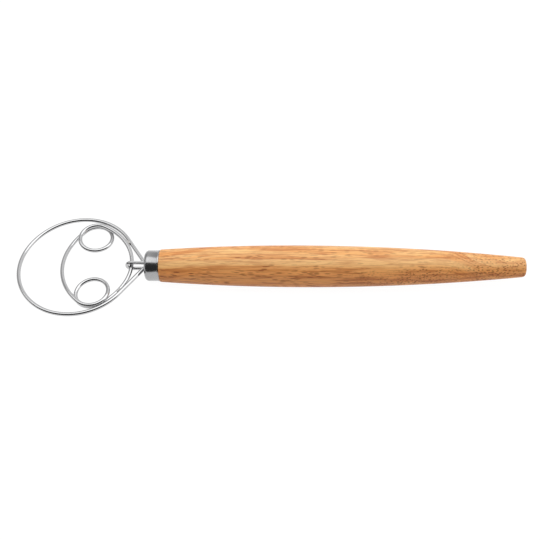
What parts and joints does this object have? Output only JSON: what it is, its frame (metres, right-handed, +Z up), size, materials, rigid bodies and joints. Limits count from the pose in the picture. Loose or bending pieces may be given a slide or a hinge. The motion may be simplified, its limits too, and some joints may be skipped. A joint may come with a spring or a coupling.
{
  "type": "dough whisk",
  "caption": "Dough whisk: a flat wire hoop around a smaller wire ring with two curls, a steel ferrule and a barrel-shaped wooden handle.",
  "frame": {"origin": "below the middle of the whisk's box, on the surface that the handle's belly touches", "axes": "+X along the handle towards its butt, +Y across the level hoop, +Z up"},
  "size_m": [0.3386, 0.0848, 0.0278],
  "materials": {
    "wood": "oiled satin",
    "wire_steel": "polished stainless steel",
    "ferrule_steel": "satin stainless steel",
    "resin": "set adhesive"
  },
  "bodies": {
    "root": {"handle": "wood", "ferrule": "ferrule_steel", "bedding": "resin", "outer_hoop": "wire_steel", "inner_ring": "wire_steel", "hook": "wire_steel", "weld_spots": "ferrule_steel"}
  },
  "joints": []
}
